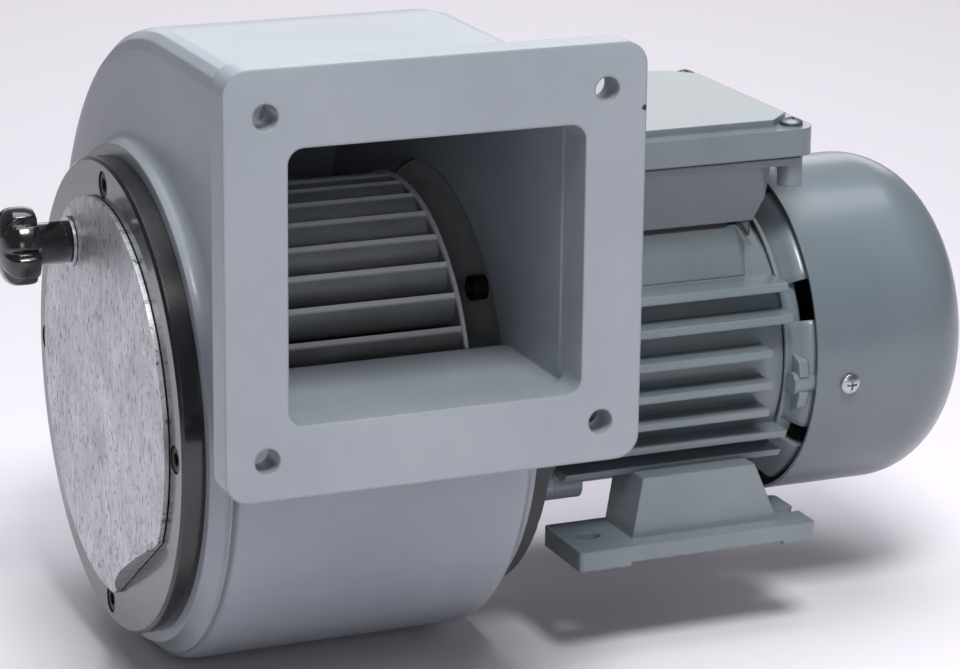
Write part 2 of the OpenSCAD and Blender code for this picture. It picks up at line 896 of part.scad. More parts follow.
module bearing_balls() {
    color([0.80, 0.81, 0.83])
        for (x = [bearing1_x0, bearing2_x0], i = [0 : balls - 1])
            translate([x + bearing_w / 2, ball_ring_r * cos(i * 360 / balls),
                shaft_h + ball_ring_r * sin(i * 360 / balls)])
                sphere(r = ball_r);
}

module wave_washer() {
    color([0.45, 0.45, 0.47])
        tube_x(0, 0, bearing2_x0 + bearing_w, bearing2_x0 + bearing_w + 0.8, bearing_r,
            bearing_r - 4);
}

module rear_shield() {
    color([0.42, 0.46, 0.48])
        difference() {
            union() {
                turned()
                    polygon([[bearing_bore_r + 1, bearing2_x0 + bearing_w + 0.8],
                        [bearing_bore_r + 1, bearing2_x0 + bearing_w + 3],
                        [bearing_house_r, bearing2_x0 + bearing_w + 3],
                        [bearing_house_r, frame_x1 + 10], [54, frame_x1 + 10],
                        [54, frame_x1 + 7], [shell_r + 2, frame_x1 + 7], [shell_r + 2, frame_x1],
                        [shell_bore_r, frame_x1], [shell_bore_r, frame_x1 + 5],
                        [bearing_house_r, frame_x1 + 5], [bearing_house_r, frame_x1 + 1],
                        [bearing_r, frame_x1 + 1],
                        [bearing_r, bearing2_x0 + bearing_w + 0.8]]);
                at_angles(rear_lugs, rear_lug_ring, frame_x1, frame_x1 + 7, rear_lug_r);
                for (a = [cover_screw_a : 90 : 270 + cover_screw_a])
                    along_x(cover_post_c * cos(a), cover_post_c * sin(a), frame_x1 + 0.5,
                        cover_screw_x + cover_post_r + 1, cover_post_r);
            }
            at_angles(rear_lugs, rear_lug_ring, frame_x1 - cut, frame_x1 + 8, m4_r + seat_gap);
            at_angles(rear_lugs, rear_lug_ring, frame_x1 + 7, frame_x1 + 11, rear_lug_r - 0.4);
            for (a = [cover_screw_a : 90 : 270 + cover_screw_a])
                translate([cover_screw_x, 0, shaft_h])
                    rotate([a, 0, 0])
                        rotate([-90, 0, 0])
                            translate([0, 0, cover_r - cover_t - 9])
                                cylinder(r = m4_r, h = 10);
        }
}

module shield_bolts() {
    hex_r = 4.2;
    hex_h = 3.5;
    color([0.16, 0.17, 0.18]) {
        at_angles(rear_lugs, rear_lug_ring, frame_x1 - 9, frame_x1 + 7 + cut, m4_r);
        for (a = rear_lugs)
            translate([frame_x1 + 7, rear_lug_ring * cos(a), shaft_h + rear_lug_ring * sin(a)])
                rotate([0, 90, 0])
                    cylinder(r = hex_r, h = hex_h, $fn = 6);
        at_angles(front_lugs, front_lug_ring, frame_x0 - 7, frame_x0 + 9, m5_r);
    }
}

module cooling_fan() {
    n = 6;
    color([0.12, 0.12, 0.13])
        difference() {
            union() {
                tube_x(0, 0, fan_x0, fan_x0 + 22, 13, shaft_fan_r);
                tube_x(0, 0, fan_x0, fan_x0 + 2.5, 58, shaft_fan_r);
                for (i = [0 : n - 1])
                    translate([0, 0, shaft_h])
                        rotate([i * 360 / n, 0, 0])
                            translate([fan_x0, -1, 12])
                                cube([28, 2, 46]);
            }
            turned()
                polygon([[13.5, fan_x0 + 23], [58, fan_x0 + 29], [13.5, fan_x0 + 29]]);
        }
}

module fan_clip() {
    color([0.30, 0.30, 0.32])
        difference() {
            tube_x(0, 0, fan_x0 + 22.3, fan_x0 + 23.3, 9, shaft_fan_r - 0.6);
            translate([fan_x0 + 22, -2, shaft_h])
                cube([2, 4, 10]);
        }
}

module cover_profile(r, x0, x1, e) {
    translate([0, x0])
        square([r - e, x1 - x0]);
    translate([0, x0])
        square([r, x1 - x0 - e]);
    translate([r - e, x1 - e])
        circle(e);
}

module fan_cover() {
    x1 = cover_x0 + cover_l;
    color([0.42, 0.46, 0.48])
        difference() {
            turned()
                difference() {
                    cover_profile(cover_r, cover_x0, x1, cover_shoulder);
                    translate([0, -cut])
                        cover_profile(cover_r - cover_t, cover_x0, x1 - cover_t + cut,
                            cover_shoulder - cover_t);
                    translate([-cover_r, cover_x0 - cover_r])
                        square([cover_r, 3 * cover_r]);
                }
            for (a = [cover_screw_a : 90 : 270 + cover_screw_a])
                translate([cover_screw_x, 0, shaft_h])
                    rotate([a, 0, 0])
                        rotate([-90, 0, 0])
                            translate([0, 0, cover_r - 6])
                                cylinder(r = m4_r + seat_gap, h = 10);
            for (ring = [12 : 7 : 33], k = [0 : 5])
                shaft_frame()
                    rotate([0, 0, k * 60 + 4])
                        rotate_extrude(angle = 52)
                            translate([ring, x1 - 4])
                                square([3.5, 6]);
        }
}

// pan-head cross-recess screw, local +Z out of the head, seat at z = 0
module pan_screw(r, l, head_r, head_h) {
    difference() {
        union() {
            translate([0, 0, -l])
                cylinder(r = r, h = l + 0.5);
            rotate_extrude()
                intersection() {
                    square([head_r, head_h]);
                    translate([0, head_h - head_r * 1.6])
                        circle(head_r * 1.6);
                }
        }
        for (a = [0, 90])
            rotate([0, 0, a])
                translate([-head_r * 0.55, -0.45, head_h * 0.35])
                    cube([head_r * 1.1, 0.9, head_h]);
    }
}

module cover_screws() {
    color([0.55, 0.56, 0.58])
        for (a = [cover_screw_a : 90 : 270 + cover_screw_a])
            translate([cover_screw_x, 0, shaft_h])
                rotate([a, 0, 0])
                    rotate([-90, 0, 0])
                        translate([0, 0, cover_r])
                            pan_screw(m4_r, 8, 4.2, 2.8);
}

// octagonal plan outline of the box at a given half length and half width
module box_plan(hx, hy) {
    c = 12;
    polygon([[-hx + c, -hy], [hx - c, -hy], [hx, -hy + c], [hx, hy - c], [hx - c, hy],
        [-hx + c, hy], [-hx, hy - c], [-hx, -hy + c]]);
}

module box_taper(shrink, z0, z1) {
    // two crossed wedges give exact sloped faces on all four sides
    intersection() {
        xz_plate(-lid_w, lid_w)
            polygon([[-box_base_l / 2 + shrink, z0], [box_base_l / 2 - shrink, z0],
                [box_top_l / 2 - shrink, z1], [-box_top_l / 2 + shrink, z1]]);
        yz_plate(-lid_l, lid_l)
            polygon([[-box_half_y0 + shrink, z0], [box_half_y0 - shrink, z0],
                [box_half_y1 - shrink, z1], [-box_half_y1 + shrink, z1]]);
        translate([0, 0, shaft_h + z0])
            linear_extrude(z1 - z0)
                box_plan(box_top_l / 2 - shrink, box_half_y1 - shrink);
    }
}

// outline shared by the box rim and its gasket
module lid_plate_outline() {
    x = lid_l / 2 - lip_in;
    y = lid_w / 2 - lip_y_in;
    round_rect(-x, -y, x, y, plate_corner_r);
}

module terminal_box() {
    color([0.42, 0.46, 0.48])
        difference() {
            union() {
                box_taper(0, box_z0, box_top);
                for (x = [-1, 1], y = [-1, 1])
                    translate([x * lid_screw_x, y * lid_screw_y, shaft_h + box_top - lid_boss_h])
                        cylinder(r = boss_r, h = lid_boss_h);
                translate([0, 0, shaft_h + box_top - flange_plate_t])
                    linear_extrude(flange_plate_t)
                        lid_plate_outline();
            }
            box_taper(box_wall, box_z0 + box_wall, box_top);
            translate([-mouth_l / 2, -mouth_w / 2, shaft_h + box_top - 2 * mouth_in])
                cube([mouth_l, mouth_w, 2 * mouth_in + cut]);
            translate([-lead_x, -lead_y, shaft_h + box_z0 - cut])
                cube([2 * lead_x, 2 * lead_y, box_wall + 2 * cut]);
            for (x = [-1, 1], y = [-1, 1])
                translate([x * box_screw_x, y * box_screw_y, shaft_h + box_z0 - cut])
                    cylinder(r = m4_r + seat_gap, h = box_wall + 2 * cut);
            for (x = [-1, 1], y = [-1, 1])
                translate([x * lid_screw_x, y * lid_screw_y, shaft_h + box_top - 10])
                    cylinder(r = m4_r, h = 10 + cut);
            translate([0, 0, shaft_h + gland_z])
                rotate([-90, 0, 0])
                    cylinder(r = gland_r, h = 60);
        }
}

module box_gasket() {
    color([0.08, 0.08, 0.08])
        translate([0, 0, shaft_h + box_base])
            linear_extrude(gasket_t)
                difference() {
                    box_plan(box_base_l / 2, box_half_y0);
                    translate([-lead_x, -lead_y])
                        square([2 * lead_x, 2 * lead_y]);
                    for (x = [-1, 1], y = [-1, 1])
                        translate([x * box_screw_x, y * box_screw_y])
                            circle(m4_r + seat_gap);
                }
}

module box_screws() {
    color([0.62, 0.62, 0.64])
        for (x = [-1, 1], y = [-1, 1])
            translate([x * box_screw_x, y * box_screw_y, shaft_h + box_z0 + box_wall])
                pan_screw(m4_r, 12, 3.8, 2.6);
}

module lid_gasket() {
    color([0.08, 0.08, 0.08])
        translate([0, 0, shaft_h + box_top])
            linear_extrude(gasket_t)
                difference() {
                    lid_plate_outline();
                    square([mouth_l, mouth_w], center = true);
                    for (x = [-1, 1], y = [-1, 1])
                        translate([x * lid_screw_x, y * lid_screw_y])
                            circle(m4_r + seat_gap);
                }
}

module terminal_lid() {
    corner = 9;
    panel_cut = 34;
    rim = 17;
    roof = 3;
    color([0.44, 0.48, 0.50])
        difference() {
            union() {
                translate([0, 0, shaft_h + lid_z0])
                    linear_extrude(lid_h)
                        round_rect(-lid_l / 2, -lid_w / 2, lid_l / 2, lid_w / 2, corner);
                translate([0, 0, shaft_h + lid_top - cut])
                    linear_extrude(lid_panel_h + cut)
                        difference() {
                            square([lid_l - 12, lid_w - 14], center = true);
                            for (x = [-1, 1], y = [-1, 1])
                                translate([x * lid_l / 2, y * lid_w / 2])
                                    rotate(45)
                                        square(panel_cut, center = true);
                        }
            }
            translate([-lid_l / 2 + rim, -lid_w / 2 + rim, shaft_h + lid_z0 - cut])
                cube([lid_l - 2 * rim, lid_w - 2 * rim, lid_h - roof + cut]);
            for (x = [-1, 1], y = [-1, 1])
                translate([x * lid_screw_x, y * lid_screw_y, shaft_h + lid_z0 - cut])
                    cylinder(r = m4_r + seat_gap, h = lid_h + 2 * cut);
        }
}

module lid_screws() {
    color([0.55, 0.56, 0.58])
        for (x = [-1, 1], y = [-1, 1])
            translate([x * lid_screw_x, y * lid_screw_y, shaft_h + lid_top])
                pan_screw(m4_r, lid_h + gasket_t + 9, 4.6, 3);
}

module terminal_block() {
    bar_w = 7;
    top_t = 5;
    z0 = box_z0 + box_wall;
    color([0.10, 0.10, 0.11])
        difference() {
            union() {
                for (y = [-block_w / 2, block_w / 2 - bar_w])
                    translate([-block_l / 2, y, shaft_h + z0])
                        cube([block_l, bar_w, block_top - z0]);
                translate([-block_l / 2, -block_w / 2, shaft_h + block_top - top_t])
                    cube([block_l, block_w, top_t]);
            }
            for (i = [-1 : 1], y = [-1, 1])
                translate([i * stud_dx, y * stud_dy, shaft_h + block_top - stud_seat - cut])
                    cylinder(r = m4_r, h = stud_seat + 2 * cut);
        }
}

module terminal_studs() {
    rise = 9;
    nut_r = 4;
    nut_h = 3;
    color([0.75, 0.62, 0.30])
        for (i = [-1 : 1], y = [-1, 1])
            translate([i * stud_dx, y * stud_dy, shaft_h + block_top - stud_seat]) {
                cylinder(r = m4_r, h = stud_seat + rise);
                translate([0, 0, stud_seat + link_t])
                    cylinder(r = nut_r, h = nut_h, $fn = 6);
            }
}

module terminal_links() {
    link_w = 8;
    link_l = 2 * stud_dx + 10;
    color([0.75, 0.62, 0.30])
        difference() {
            translate([-link_l / 2, -stud_dy - link_w / 2, shaft_h + block_top])
                cube([link_l, link_w, link_t]);
            for (i = [-1 : 1])
                translate([i * stud_dx, -stud_dy, shaft_h + block_top - cut])
                    cylinder(r = m4_r, h = link_t + 2 * cut);
        }
}

module motor_leads() {
    lead_r = 1.3;
    lead_dx = 9;
    color([0.55, 0.10, 0.08])
        for (i = [-1 : 1], y = [-1, 1])
            translate([i * lead_dx, y * stud_dy, shaft_h + shell_bore_r])
                cylinder(r = lead_r, h = block_top - 5 - shell_bore_r);
}

module cable_gland() {
    start = gland_nut_y1 - gland_nut_t - 1;
    hex_r = 12;
    hex_h = 6;
    cap_r = 9.5;
    cap_h = 11;
    color([0.08, 0.08, 0.08])
        translate([0, 0, shaft_h + gland_z])
            rotate([-90, 0, 0])
                difference() {
                    union() {
                        translate([0, 0, start])
                            cylinder(r = gland_r, h = gland_y0 - start + cut);
                        translate([0, 0, gland_y0])
                            cylinder(r = hex_r, h = hex_h, $fn = 6);
                        translate([0, 0, gland_y0 + hex_h - cut])
                            cylinder(r = cap_r, h = cap_h + cut);
                    }
                    translate([0, 0, start - cut])
                        cylinder(r = cable_r, h = gland_y0 + hex_h + cap_h - start + 2 * cut);
                }
}

module gland_nut() {
    color([0.08, 0.08, 0.08])
        translate([0, 0, shaft_h + gland_z])
            rotate([-90, 0, 0])
                translate([0, 0, gland_nut_y1 - gland_nut_t])
                    difference() {
                        cylinder(r = gland_nut_r, h = gland_nut_t, $fn = 6);
                        translate([0, 0, -cut])
                            cylinder(r = gland_r, h = gland_nut_t + 2 * cut);
                    }
}

module earth_screw() {
    color([0.70, 0.72, 0.74])
        translate([-23, 0, shaft_h + box_z0 + box_wall])
            cylinder(r = 2.6, h = 4, $fn = 6);
}

volute_casing();
inlet_ring();
inlet_ring_screws();
damper_plate();
damper_stud();
damper_washer();
damper_knob();
wheel_disc();
wheel_blades();
wheel_shroud();
wheel_hub();
wheel_washer();
wheel_screw();
shaft_key();
back_plate();
back_plate_screws();
flange_bolts();
front_shield();
shaft_seal();
motor_frame();
stator_core();
windings();
rotor_core();
shaft();
bearing_outers();
bearing_inners();
bearing_balls();
wave_washer();
rear_shield();
shield_bolts();
cooling_fan();
fan_clip();
fan_cover();
cover_screws();
terminal_box();
box_gasket();
box_screws();
lid_gasket();
terminal_lid();
lid_screws();
terminal_block();
terminal_studs();
terminal_links();
motor_leads();
cable_gland();
gland_nut();
earth_screw();
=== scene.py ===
import bpy
import bmesh
import math
from mathutils import Matrix, Vector


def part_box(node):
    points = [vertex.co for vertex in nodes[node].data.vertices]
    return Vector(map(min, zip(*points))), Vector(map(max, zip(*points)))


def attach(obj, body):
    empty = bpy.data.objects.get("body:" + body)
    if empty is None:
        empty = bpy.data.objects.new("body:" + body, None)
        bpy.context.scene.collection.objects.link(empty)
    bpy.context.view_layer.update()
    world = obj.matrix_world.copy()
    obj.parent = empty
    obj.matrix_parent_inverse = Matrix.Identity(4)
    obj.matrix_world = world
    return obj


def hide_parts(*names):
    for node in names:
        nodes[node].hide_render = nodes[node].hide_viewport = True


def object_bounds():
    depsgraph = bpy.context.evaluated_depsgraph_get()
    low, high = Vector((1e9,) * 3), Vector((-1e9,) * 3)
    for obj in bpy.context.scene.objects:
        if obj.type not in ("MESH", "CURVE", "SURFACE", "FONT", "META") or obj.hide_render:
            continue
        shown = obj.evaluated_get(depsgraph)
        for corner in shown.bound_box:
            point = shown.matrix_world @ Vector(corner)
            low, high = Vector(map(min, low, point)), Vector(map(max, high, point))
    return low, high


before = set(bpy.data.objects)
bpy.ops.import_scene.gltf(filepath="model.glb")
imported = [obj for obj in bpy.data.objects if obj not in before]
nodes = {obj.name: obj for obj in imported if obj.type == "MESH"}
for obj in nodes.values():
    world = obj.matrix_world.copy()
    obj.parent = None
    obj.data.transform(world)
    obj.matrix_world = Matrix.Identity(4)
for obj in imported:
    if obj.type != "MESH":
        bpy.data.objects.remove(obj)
cad_lo, cad_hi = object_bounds()

# Lengths are in metres, in the CAD's frame: +X from the inlet to the fan cover, -Y towards
# the outlet, +Z up.
AXIS_Z = 0.071
FLOOR_Z = cad_lo.z - 0.0003  # a hair under the feet
SIDES = ((-1, "front"), (1, "back"))


# ---------------------------------------------------------------- materials
def srgb(r, g, b):
    """A colour written in 0 to 255, as the linear colour that a shader takes."""
    def lin(c):
        c = c / 255.0
        return c / 12.92 if c <= 0.04045 else ((c + 0.055) / 1.055) ** 2.4
    return (lin(r), lin(g), lin(b), 1.0)


BLACK, WHITE = (0, 0, 0, 1), (1, 1, 1, 1)


class Mat:
    """A small helper round one node material with a Principled shader."""

    def __init__(self, name, rough=0.5, metal=0.0, coat=0.0, coat_rough=0.1):
        self.m = bpy.data.materials.new(name)
        self.m.use_nodes = True
        self.t = self.m.node_tree
        self.n = self.t.nodes
        self.b = self.n["Principled BSDF"]
        self.b.inputs["Metallic"].default_value = metal
        self.b.inputs["Roughness"].default_value = rough
        self.b.inputs["Coat Weight"].default_value = coat
        self.b.inputs["Coat Roughness"].default_value = coat_rough
        self.b.inputs["Specular IOR Level"].default_value = 0.5
        self.co = self.n.new("ShaderNodeTexCoord").outputs["Object"]

    def link(self, a, b):
        self.t.links.new(a, b)

    def put(self, value, socket):
        """Sets a socket to a constant, or links it to another node's output."""
        if isinstance(value, (float, tuple)):
            socket.default_value = value
        else:
            self.link(value, socket)

    def noise(self, scale, detail=4.0, rough=0.55, stretch=None, distortion=0.0):
        n = self.n.new("ShaderNodeTexNoise")
        n.inputs["Scale"].default_value = scale
        n.inputs["Detail"].default_value = detail
        n.inputs["Roughness"].default_value = rough
        n.inputs["Distortion"].default_value = distortion
        src = self.co
        if stretch:
            m = self.n.new("ShaderNodeMapping")
            m.inputs["Scale"].default_value = stretch
            self.link(self.co, m.inputs["Vector"])
            src = m.outputs["Vector"]
        self.link(src, n.inputs["Vector"])
        return n.outputs["Fac"]

    def ramp(self, fac, stops):
        r = self.n.new("ShaderNodeValToRGB")
        e = r.color_ramp.elements
        e[0].position, e[0].color = stops[0]
        e[1].position, e[1].color = stops[-1]
        for p, c in stops[1:-1]:
            k = e.new(p)
            k.color = c
        self.link(fac, r.inputs["Fac"])
        return r.outputs["Color"]

    def mask(self, fac, lo, hi, strength):
        """0 below `lo`, rising to `strength` at `hi`: how much of a second colour shows."""
        return self.value(self.ramp(fac, [(lo, BLACK), (hi, WHITE)]), 0.0, strength)

    def mix(self, fac, a, b):
        m = self.n.new("ShaderNodeMix")
        m.data_type = "RGBA"
        for k, v in ((0, fac), (6, a), (7, b)):
            self.put(v, m.inputs[k])
        return m.outputs[2]

    def bump(self, height, strength, distance, normal):
        b = self.n.new("ShaderNodeBump")
        b.inputs["Strength"].default_value = strength
        b.inputs["Distance"].default_value = distance
        self.link(height, b.inputs["Height"])
        self.link(normal, b.inputs["Normal"])
        return b.outputs["Normal"]

    def edge(self, radius):
        """Normals rounded over the piece's edges, within this radius."""
        b = self.n.new("ShaderNodeBevel")
        b.samples = 6
        b.inputs["Radius"].default_value = radius
        return b.outputs["Normal"]

    def math(self, kind, a, b):
        n = self.n.new("ShaderNodeMath")
        n.operation = kind
        self.put(a, n.inputs[0])
        self.put(b, n.inputs[1])
        return n.outputs[0]

    def value(self, fac, lo, hi, a=0.0, b=1.0):
        """Maps `fac` from the range a to b onto the range lo to hi."""
        r = self.n.new("ShaderNodeMapRange")
        r.inputs["From Min"].default_value = a
        r.inputs["From Max"].default_value = b
        r.inputs["To Min"].default_value = lo
        r.inputs["To Max"].default_value = hi
        self.link(fac, r.inputs["Value"])
        return r.outputs["Result"]

    def from_axis(self, near, far):
        """0 nearer to the shaft axis than `near`, 1 beyond `far`."""
        m = self.n.new("ShaderNodeMapping")
        m.inputs["Location"].default_value = (0, 0, -AXIS_Z)
        m.inputs["Scale"].default_value = (0, 1, 1)
        self.link(self.co, m.inputs["Vector"])
        d = self.n.new("ShaderNodeVectorMath")
        d.operation = "LENGTH"
        self.link(m.outputs["Vector"], d.inputs[0])
        return self.value(d.outputs["Value"], 0.0, 1.0, near, far)

    def along_x(self, near, far):
        """0 before `near` along the shaft, 1 past `far`."""
        n = self.n.new("ShaderNodeSeparateXYZ")
        self.link(self.co, n.inputs[0])
        return self.value(n.outputs["X"], 0.0, 1.0, near, far)

    def spot(self, centre, size):
        """1 in a ragged spot of about this radius round a point on the piece, 0 outside it."""
        n = self.n.new("ShaderNodeVectorMath")
        n.operation = "DISTANCE"
        self.link(self.co, n.inputs[0])
        n.inputs[1].default_value = centre
        rag = self.math("MULTIPLY", self.noise(900.0, 3.0), size)
        away = self.math("ADD", n.outputs["Value"], rag)
        return self.value(away, 1.0, 0.0, size * 1.35, size * 1.55)

    def done(self, colour, rough, normal):
        """Links the three sockets that vary over the surface, and gives the material."""
        self.link(colour, self.b.inputs["Base Color"])
        self.link(rough, self.b.inputs["Roughness"])
        self.link(normal, self.b.inputs["Normal"])
        return self.m


def painted(name, base, dark, light, rough, bump, edge, grain=420.0, coat=0.25, chip=None):
    """Sprayed enamel on a casting: slow drift of colour, orange peel, casting grain under it."""
    k = Mat(name, rough=rough, coat=coat, coat_rough=0.18)
    drift = k.noise(9.0, 5.0, 0.6)
    col = k.ramp(drift, [(0.30, dark), (0.52, base), (0.74, light)])
    specks = k.noise(900.0, 2.0, 0.5)
    col = k.mix(k.mask(specks, 0.70, 0.76, 0.10), col, light)
    if chip:
        col = k.mix(k.spot(*chip), col, srgb(40, 38, 40))
    peel = k.noise(grain, 3.0, 0.6)
    broad = k.noise(70.0, 2.0, 0.5)
    n = k.edge(edge)
    n = k.bump(broad, 0.10 * bump, 0.0012, n)
    n = k.bump(peel, 0.16 * bump, 0.0004, n)
    return k.done(col, k.value(drift, rough - 0.05, rough + 0.07), n)


def blackened(name, rough, coat, edge=0.0006, wear=0.10):
    """Black paint or oxide, greyer in clouds where it is rubbed."""
    k = Mat(name, rough=rough, coat=coat, coat_rough=0.08)
    d = k.noise(60.0, 5.0, 0.6)
    col = k.ramp(d, [(0.3, srgb(14, 14, 16)), (0.62, srgb(26, 26, 29)), (0.85, srgb(46, 46, 50))])
    n = k.bump(k.noise(500.0, 2.0), 0.06, 0.0003, k.edge(edge))
    return k.done(col, k.value(d, rough - 0.06, rough + wear), n)


def steel(name, lo, hi, rough=0.3, stretch=(1, 1, 1), scale=300.0):
    """Bare or plated metal, between two colours."""
    k = Mat(name, rough=rough, metal=1.0)
    d = k.noise(scale, 5.0, 0.6, stretch=stretch)
    n = k.bump(d, 0.08, 0.0003, k.edge(0.0003))
    return k.done(k.ramp(d, [(0.3, lo), (0.7, hi)]), k.value(d, rough - 0.08, rough + 0.12), n)


def raw_sheet(name):
    """Bare aluminium blank: upright brushing, dull clouds, scratches and dark flecks."""
    k = Mat(name, rough=0.36, metal=0.85)
    brush = k.noise(120.0, 6.0, 0.7, stretch=(1.0, 6.0, 0.9))
    cloud = k.noise(26.0, 6.0, 0.62, distortion=0.8)
    stain = k.noise(75.0, 6.0, 0.7, distortion=1.6)
    scratch = k.noise(240.0, 3.0, 0.8, stretch=(1.0, 6.0, 0.35), distortion=0.6)
    fleck = k.noise(300.0, 2.0, 0.6, stretch=(1.0, 2.6, 0.8), distortion=0.3)
    col = k.ramp(cloud, [(0.32, srgb(160, 162, 167)), (0.50, srgb(194, 196, 200)),
                         (0.70, srgb(220, 222, 225))])
    streak = k.ramp(brush, [(0.36, srgb(140, 142, 148)), (0.60, srgb(222, 223, 227))])
    col = k.mix(0.35, col, streak)
    col = k.mix(k.mask(stain, 0.56, 0.68, 0.25), col, srgb(122, 123, 128))
    col = k.mix(k.mask(scratch, 0.66, 0.70, 0.45), col, srgb(238, 239, 242))
    col = k.mix(k.mask(fleck, 0.60, 0.63, 0.75), col, srgb(70, 71, 76))
    n = k.bump(brush, 0.12, 0.0002, k.edge(0.0004))
    n = k.bump(scratch, 0.10, 0.0002, n)
    return k.done(col, k.value(stain, 0.26, 0.56), n)


def rimmed_plate(name, painted_r, painted_x):
    """Back plate: black beyond this radius and past this X; the face between is pale, a painted
    light standing in for light that the shaded recess lacks.
    """
    k = Mat(name, rough=0.48)
    d = k.noise(60.0, 5.0, 0.6)
    black = k.ramp(d, [(0.3, srgb(38, 38, 40)), (0.62, srgb(50, 50, 53)),
                       (0.85, srgb(70, 70, 74))])
    # pale face between: painted light standing in for light that the recess behind the wheel
    # lacks
    painted_light_face = k.ramp(d, [(0.3, srgb(196, 200, 203)), (0.7, srgb(216, 219, 221))])
    outside = k.math("MAXIMUM", k.from_axis(painted_r, painted_r + 0.0005),
                     k.along_x(painted_x, painted_x + 0.0004))
    n = k.bump(k.noise(500.0, 2.0), 0.06, 0.0003, k.edge(0.0006))
    return k.done(k.mix(outside, painted_light_face, black), k.value(d, 0.42, 0.58), n)


def dull_sheet(name, tip_r):
    """Galvanised sheet gone dull, streaked along the blades, its outer cut edges bright: partly
    bare cut metal, partly a painted highlight.
    """
    k = Mat(name, rough=0.5, metal=0.35)
    d = k.noise(60.0, 5.0, 0.6, stretch=(0.35, 1.0, 1.0))
    col = k.ramp(d, [(0.3, srgb(124, 128, 131)), (0.7, srgb(150, 154, 157))])
    # bright rim at the blade tips: partly bare cut edge, partly a painted highlight
    col = k.mix(k.from_axis(tip_r - 0.0005, tip_r), col, srgb(226, 228, 230))
    n = k.bump(d, 0.06, 0.0003, k.edge(0.0003))
    return k.done(col, k.value(d, 0.42, 0.58), n)


def moulded(name, colour, rough=0.45):
    """Plastic or rubber with a fine moulded grain."""
    k = Mat(name, rough=rough)
    d = k.noise(350.0, 3.0)
    light = tuple(min(1.0, c * 1.35) for c in colour[:3]) + (1.0,)
    k.link(k.ramp(d, [(0.35, colour), (0.75, light)]), k.b.inputs["Base Color"])
    k.link(k.bump(d, 0.08, 0.0003, k.edge(0.0004)), k.b.inputs["Normal"])
    return k.m


FLANGE_CHIP = ((-0.0702, -0.1496, 0.2054), 0.0012)

CASING = painted("casing_grey", srgb(149, 156, 164), srgb(140, 147, 156), srgb(160, 166, 173),
                 0.40, 1.0, 0.0016, chip=FLANGE_CHIP)
MOTOR = painted("motor_grey", srgb(116, 126, 132), srgb(106, 116, 122), srgb(128, 137, 143),
                0.33, 1.1, 0.0011, grain=520.0, coat=0.4)
COVER = painted("cover_grey", srgb(104, 114, 121), srgb(98, 108, 115), srgb(112, 121, 128),
                0.32, 0.35, 0.0008, grain=650.0, coat=0.4)
RING = blackened("ring_black", 0.24, 0.6)
PLATE = rimmed_plate("plate_black", painted_r=0.0810, painted_x=-0.0846)
OXIDE = blackened("oxide_black", 0.42, 0.0, edge=0.0003)
KNOB = blackened("knob_black", 0.16, 0.7, edge=0.0008, wear=0.08)
BARE = raw_sheet("bare_aluminium")
ZINC = steel("zinc_steel", srgb(168, 170, 174), srgb(208, 210, 214), 0.28)
GROUND = steel("ground_steel", srgb(170, 172, 176), srgb(214, 215, 218), 0.22)
GALV = dull_sheet("wheel_sheet", tip_r=0.0767)
LAMS = steel("laminations", srgb(92, 92, 98), srgb(128, 128, 134), 0.42, stretch=(40, 1, 1))
CAGE = steel("cage_aluminium", srgb(150, 152, 156), srgb(186, 188, 192), 0.38, scale=120.0)
COPPER = steel("copper_wire", srgb(150, 84, 48), srgb(196, 118, 72), 0.34, stretch=(1, 8, 8))
WORN_ZINC = steel("worn_zinc", srgb(108, 114, 119), srgb(146, 151, 155), 0.42)
BRASS = steel("brass", srgb(182, 148, 78), srgb(214, 182, 108), 0.30)
PLASTIC = moulded("black_plastic", srgb(34, 34, 37))
RUBBER = moulded("black_rubber", srgb(24, 24, 25), 0.7)
LEAD = moulded("lead_sleeve", srgb(150, 46, 38), 0.5)

BY_NODE = {
    CASING: ["volute_casing"],
    MOTOR: ["motor_frame", "front_shield", "rear_shield", "terminal_box", "terminal_lid"],
    COVER: ["fan_cover"],
    RING: ["inlet_ring"],
    PLATE: ["back_plate"],
    OXIDE: ["inlet_ring_screws", "back_plate_screws", "flange_bolts", "shield_bolts",
            "wheel_screw"],
    KNOB: ["damper_knob"],
    BARE: ["damper_plate"],
    ZINC: ["damper_stud", "damper_washer", "cover_screws", "box_screws", "earth_screw",
           "wheel_washer", "fan_clip", "wave_washer"],
    GROUND: ["shaft", "bearing_outers", "bearing_inners", "bearing_balls", "shaft_key",
             "wheel_hub"],
    GALV: ["wheel_disc", "wheel_blades", "wheel_shroud"],
    LAMS: ["stator_core"],
    CAGE: ["rotor_core"],
    COPPER: ["windings"],
    WORN_ZINC: ["lid_screws"],
    BRASS: ["terminal_studs", "terminal_links"],
    PLASTIC: ["cooling_fan", "terminal_block", "cable_gland", "gland_nut"],
    RUBBER: ["shaft_seal", "box_gasket", "lid_gasket"],
    LEAD: ["motor_leads"],
}
for material, names in BY_NODE.items():
    for name in names:
        for s in nodes[name].material_slots:
            s.material = material


# ---------------------------------------------------------------- pieces made here
def smooth_piece(name, bm, material):
    """Turns a closed bmesh into a smooth object of this material."""
    bmesh.ops.recalc_face_normals(bm, faces=bm.faces)
    me = bpy.data.meshes.new(name)
    bm.to_mesh(me)
    bm.free()
    o = bpy.data.objects.new(name, me)
    bpy.context.scene.collection.objects.link(o)
    me.materials.append(material)
    for p in me.polygons:
        p.use_smooth = True
    return o


